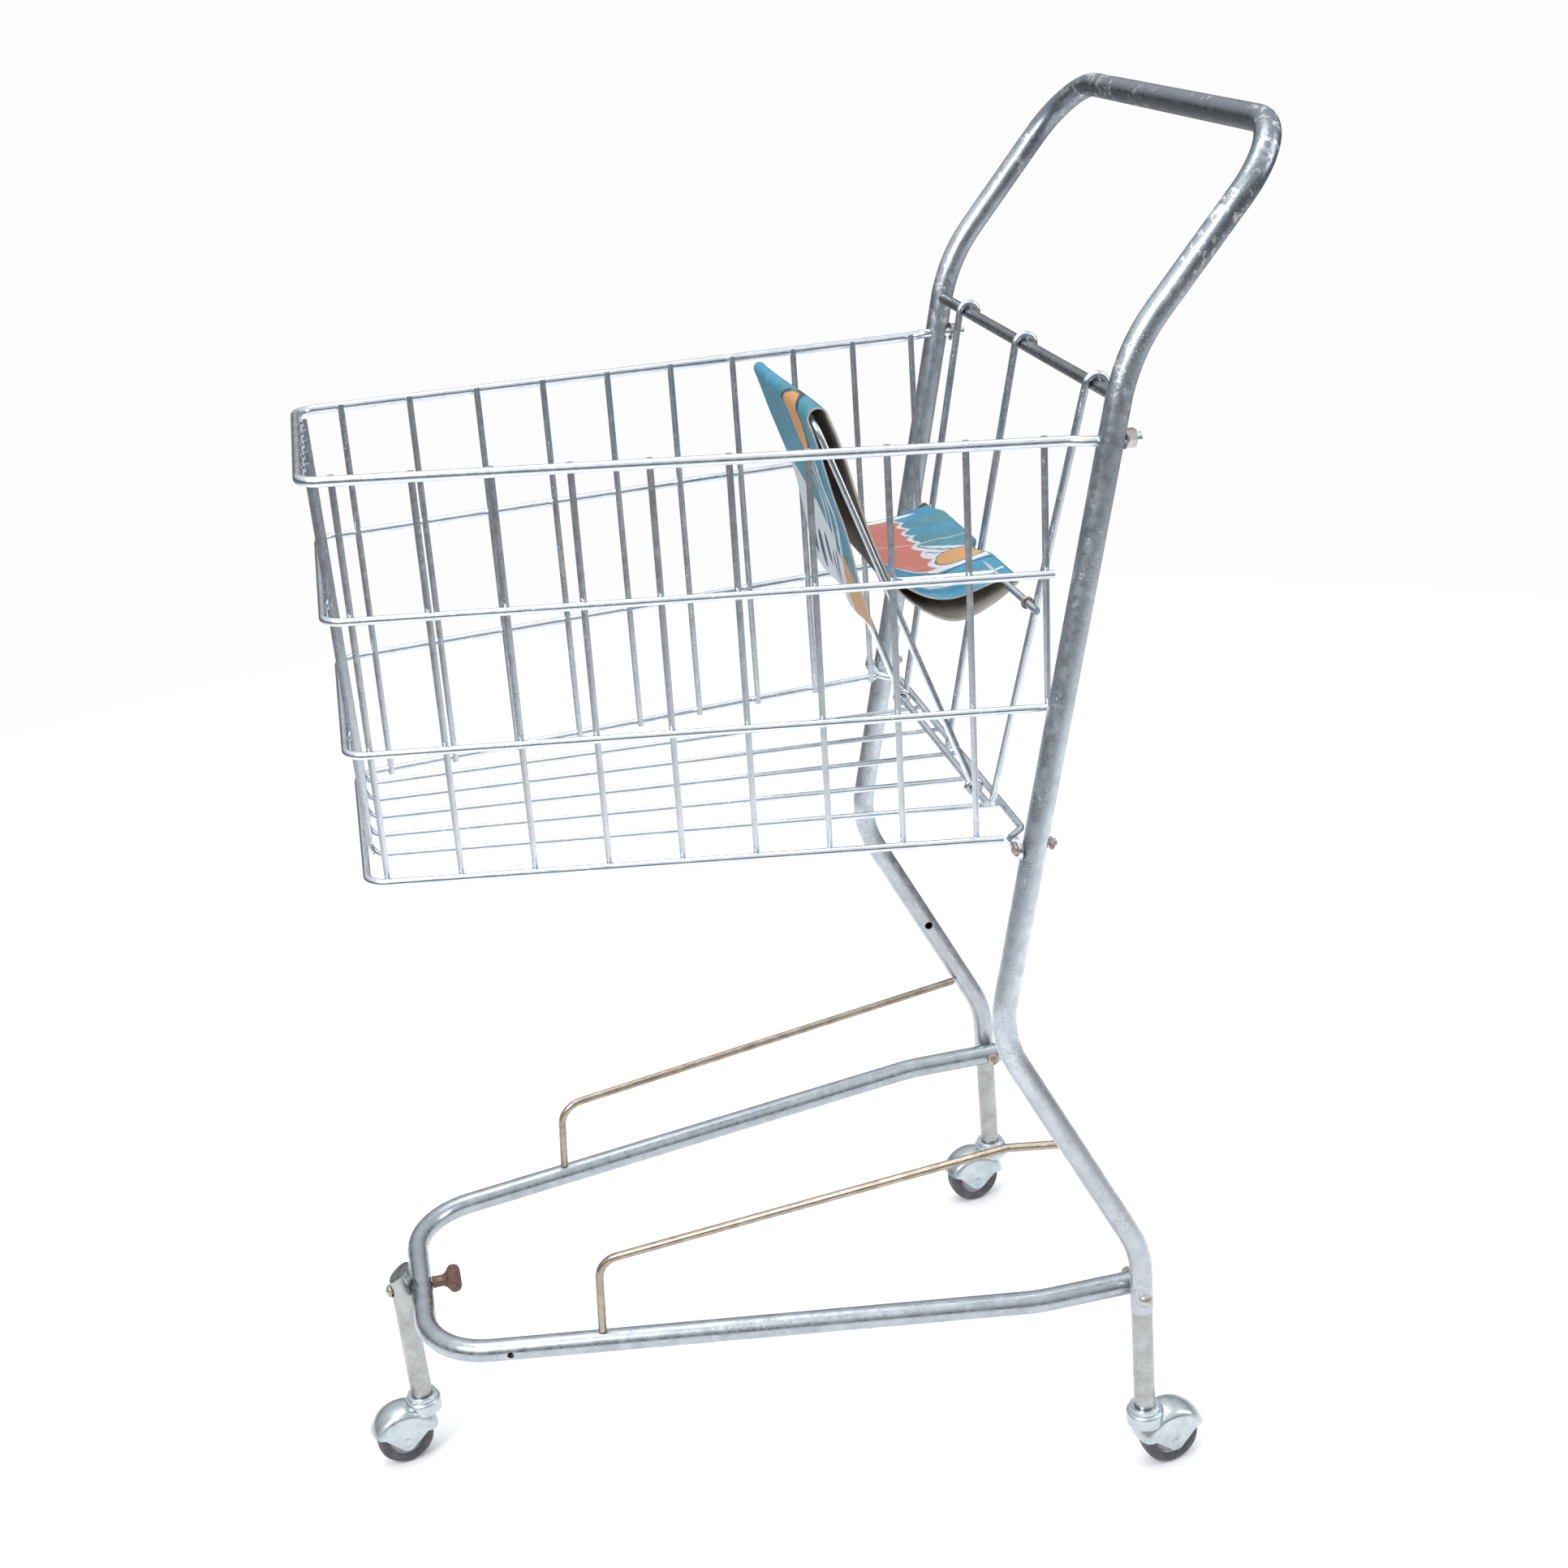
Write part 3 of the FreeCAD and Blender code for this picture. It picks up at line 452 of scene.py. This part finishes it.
def vinyl_reverse():
    """Knitted backing of the vinyl: beige grey with a fine rib."""
    n = Nodes("vinyl_backing")
    uv = n.add("ShaderNodeUVMap", uv_map="cm").outputs[0]
    rib = n.add("ShaderNodeTexWave", wave_type="BANDS", bands_direction="X")
    n.join(uv, rib.inputs["Vector"])
    rib.inputs["Scale"].default_value = 4.2
    rib.inputs["Distortion"].default_value = 0.8
    tone = n.mix(n.step(n.noise(55, 5, 0.65), 0.35, 0.75), (0.47, 0.44, 0.39), (0.33, 0.30, 0.26))
    tone = n.mix(n.maths("MULTIPLY", rib.outputs["Fac"], 0.25), tone, (0.24, 0.22, 0.19))
    normal = n.bump(rib.outputs["Fac"], 0.0002, 0.6, n.bump(n.noise(900, 3, 0.6), 0.0001, 0.6))
    return n.finish(tone, 0.88, 0.0, normal, Specular_IOR_Level=0.2)


# ---- seat and backrest geometry, as in the frame ---------------------------------
BAR = Vector((0, 0.136, 0.474))
LEAN = math.radians(18)
BACK_UP = Vector((0, -math.sin(LEAN), math.cos(LEAN)))
BACK_FRONT = Vector((0, -math.cos(LEAN), -math.sin(LEAN)))
BACK_TOP = 0.256        # up the backrest from its bar to the top of the wire loop
BACK_FOOT = 0.118       # up to the lower end of the sleeve
FRONT_HEM, REAR_HEM = 0.1195, 0.1400
SEAT = Vector((0, 0.1632, 0.605))
DROP = math.radians(2)
SEAT_OUT = Vector((0, -math.cos(DROP), -math.sin(DROP)))
SEAT_UP = Vector((0, -math.sin(DROP), math.cos(DROP)))
SEAT_DEPTH = 0.0594
SEAT_FOLD = 0.0036      # radius of the sleeve round each seat bar
FAR_EDGE = -0.099       # x of the seat sleeve's far edge
MIDDLE_GATE_WIRE = 0.0056
SKIN = 0.0011


def smooth(a, b, x):
    """Smooth step from 0 at a to 1 at b."""
    t = max(0.0, min(1.0, (x - a) / (b - a)))
    return t * t * (3 - 2 * t)


def sheet_mesh(name, point, across, along, closed, print_material, reverse_material, size_cm):
    """Skin over a grid of point(i, j); the inner face gets the reverse material."""
    mesh = bpy.data.meshes.new(name)
    shape = bmesh.new()
    rows = [[shape.verts.new(point(i / (across - 1), j / (along if closed else along - 1)))
             for i in range(across)] for j in range(along)]
    layer = shape.loops.layers.uv.new("cm")
    last = along if closed else along - 1
    for j in range(last):
        for i in range(across - 1):
            k = (j + 1) % along
            corners = [(i, j), (i + 1, j), (i + 1, j + 1), (i, j + 1)]
            round_face = [rows[j][i], rows[j][i + 1], rows[k][i + 1], rows[k][i]]
            if closed:
                round_face, corners = round_face[::-1], corners[::-1]
            face = shape.faces.new(round_face)
            face.smooth = True
            for loop, (a, b) in zip(face.loops, corners):
                loop[layer].uv = ((a / (across - 1) - 0.5) * size_cm[0],
                                  (b / last - 0.5) * size_cm[1])
    shape.normal_update()
    shape.to_mesh(mesh)
    shape.free()
    piece = bpy.data.objects.new(name, mesh)
    bpy.context.scene.collection.objects.link(piece)
    mesh.materials.append(print_material)
    mesh.materials.append(reverse_material)
    skin = piece.modifiers.new("skin", "SOLIDIFY")
    skin.thickness, skin.offset = SKIN, -1.0
    skin.material_offset, skin.material_offset_rim = 1, 1
    return piece


def back_section(t, gap):
    """(along, layer) of the backrest sleeve's section at t = 0..1, from the front hem round the
    top to the rear hem.  layer is 1 on the front, 0 on the rear and in between on the fold."""
    top = BACK_TOP + 0.0040
    half = math.pi * gap / 2
    front, rear = top - gap / 2 - FRONT_HEM, top - gap / 2 - REAR_HEM
    run = t * (front + half + rear)
    if run < front:
        return FRONT_HEM + run, 1.0
    if run < front + half:
        turn = (run - front) / half * math.pi
        return top - gap / 2 + gap / 2 * math.sin(turn), 0.5 + 0.5 * math.cos(turn)
    return top - gap / 2 - (run - front - half), 0.0


def back_point(i, t):
    """Backrest sleeve: snug on the far side, open at the near top, front hem swung forward."""
    fold = smooth(0.05, 0.95, i)
    gap = 0.0078 + 0.0056 * fold
    a, layer = back_section(t, gap)
    front = (0.0038 + 0.0105 * smooth(0.195, 0.119, a)
             + 0.0040 * smooth(0.250, 0.195, a) * fold)
    rear = -0.0040 - 0.0056 * smooth(0.145, 0.250, a) * fold
    n = rear + (front - rear) * layer
    share = max(0.0, min(1.0, (a - BACK_FOOT) / (BACK_TOP - BACK_FOOT)))
    x0 = -0.0995 + 0.0015 * share
    x1 = 0.0650 - 0.0110 * share
    x = x0 + (x1 - x0) * i
    hem = smooth(0.17, 0.12, a)
    n += (noise.noise(Vector((x * 16, a * 13, 3.1 + 6.3 * layer))) * 0.0020
          + math.sin(x * 74 + 0.8) * 0.0011 * hem * layer) * smooth(1.0, 0.75, share)
    n = min(n, -0.0031) if layer < 0.01 else n
    return BAR + Vector((x, 0, 0)) + BACK_UP * a + BACK_FRONT * n


def seat_point(i, t):
    """Seat sleeve round both bars: it sags at the open near side and bulges back between the
    gate wires."""
    radius = SEAT_FOLD
    straight, turn = SEAT_DEPTH, math.pi * radius
    run = (t % 1.0) * (2 * straight + 2 * turn)
    near = smooth(0.15, 1.0, i)
    if run < straight:
        b = run / straight
        o, u = run, radius
        u -= (0.0032 + 0.0098 * near ** 1.5) * math.sin(math.pi * b ** 1.25)
    elif run < straight + turn:
        a = (run - straight) / radius
        o, u = SEAT_DEPTH + radius * math.sin(a), radius * math.cos(a)
    elif run < 2 * straight + turn:
        b = (run - straight - turn) / straight
        o, u = SEAT_DEPTH * (1 - b), -radius
        u -= (0.0120 + 0.0085 * near) * max(0.0, math.sin(math.pi * b)) ** 0.85
    else:
        a = (run - 2 * straight - turn) / radius
        o, u = -radius * math.sin(a), -radius * math.cos(a)
    share = max(0.0, min(1.0, o / SEAT_DEPTH))
    x0 = FAR_EDGE + 0.0070 * share
    x1 = 0.0750 - 0.0300 * share
    x = x0 + (x1 - x0) * i
    free = smooth(0.0045, 0.020, abs(x - MIDDLE_GATE_WIRE)) * smooth(FAR_EDGE, -0.080, x)
    back = smooth(0.020, -0.002, o)
    o -= 0.0058 * free * back
    wave = noise.noise(Vector((x * 22, o * 30, u * 20 + 5)))
    u += wave * 0.0016 * math.sin(math.pi * share)
    return SEAT + Vector((x, 0, 0)) + SEAT_OUT * o + SEAT_UP * u


def make_backrest(reverse):
    piece = sheet_mesh("backrest_sleeve", back_point, 60, 140, False, back_print(), reverse,
                       (16.0, 26.8))
    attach(piece, "backrest")
    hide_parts("backrest_cover")
    return piece


def make_seat(reverse):
    piece = sheet_mesh("seat_sleeve", seat_point, 60, 120, True, seat_print(), reverse,
                       (15.4, 14.2))
    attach(piece, "seat")
    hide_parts("seat_cover")
    return piece


# ---- everything together ------------------------------------------------------------


def paint(material, *names):
    """Gives CAD nodes a material without touching their meshes' geometry."""
    for name in names:
        mesh = NODES[name].data
        for k in range(max(1, len(mesh.materials))):
            if mesh.materials:
                NODES[name].material_slots[k].link = "OBJECT"
                NODES[name].material_slots[k].material = material
            else:
                mesh.materials.append(material)


def paint_frame():
    tube = handle_plating()
    paint(tube, "main_tube")
    legs = worn_plating("leg_plating", (0.42, 0.43, 0.42), (0.32, 0.325, 0.31),
                        (0.22, 0.18, 0.13), 0.4, base_stain=(0.05, 0.09, 0.5))
    paint(legs, "rear_leg_left", "rear_leg_right", "front_leg")
    dark = worn_plating("rail_plating", (0.43, 0.465, 0.495), (0.34, 0.37, 0.395),
                        (0.21, 0.18, 0.15), 0.28, rough=(0.22, 0.40),
                        base_stain=(0.128, 0.136, 0.9))
    paint(dark, "lower_frame")
    wire = worn_plating("wire_plating", (0.71, 0.75, 0.79), (0.60, 0.64, 0.68),
                        (0.26, 0.22, 0.18), 0.16, rough=(0.16, 0.28), pits=0.15)
    paint(wire, "basket_rim", "basket_hoop_upper", "basket_hoop_middle", "basket_hoop_bottom",
          "basket_wires_left", "basket_wires_right", "basket_floor_wires", "basket_cross_wire",
          "gate_wires", "gate_bottom_bar", "backrest_frame", "seat_frame")
    rod = worn_plating("rod_steel", (0.26, 0.27, 0.29), (0.17, 0.175, 0.185), (0.16, 0.12, 0.09), 0.4)
    paint(rod, "pivot_rod")
    stay = worn_plating("stay_steel", (0.42, 0.37, 0.30), (0.29, 0.24, 0.185),
                        (0.22, 0.135, 0.07), 0.8)
    paint(stay, "side_wire_left", "side_wire_right")
    paint(rusty_steel("knob_rust", (0.20, 0.135, 0.115), (0.165, 0.082, 0.06), 0.8), "clamp_knob")
    bolt = rusty_steel("bolt_rust", (0.48, 0.46, 0.42), (0.26, 0.14, 0.08), 0.45)
    paint(bolt, "front_bolt", "rail_bolts", "rail_nuts", "basket_bolts", "basket_nuts", "rim_nuts",
          "rim_washers", "seat_eyes")
    paint(aged_plastic("plug_plastic", (0.72, 0.70, 0.63), (0.45, 0.40, 0.32)), "rail_end_plugs")
    hood = worn_plating("castor_plating", (0.56, 0.61, 0.635), (0.42, 0.46, 0.48),
                        (0.24, 0.19, 0.145), 0.35, rough=(0.24, 0.40), pits=0.4)
    core = aged_plastic("castor_core", (0.36, 0.37, 0.40), (0.20, 0.19, 0.18))
    tyre = rubber()
    for side in ("left", "right", "front"):
        paint(hood, "castor_stem_" + side, "castor_hood_" + side, "castor_axle_" + side)
        paint(core, "castor_wheel_" + side)
        paint(tyre, "castor_tyre_" + side)


make_camera()
make_world()
make_floor()
area_light("key", (1.5, -1.6, 2.3), (0, 0, 0.45), (1.2, 1.2), 46)
area_light("side", (0.6, 2.2, 1.5), (0, 0, 0.5), (0.9, 1.6), 18, (0.96, 0.98, 1.0))
area_light("top", (-0.4, -0.2, 2.9), (0, 0, 0.3), (1.8, 1.4), 26)
bpy.context.scene.view_settings.view_transform = "Standard"
paint_frame()
backing = vinyl_reverse()
back_sleeve = make_backrest(backing)
seat_sleeve = make_seat(backing)
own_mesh(back_sleeve)
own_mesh(seat_sleeve)
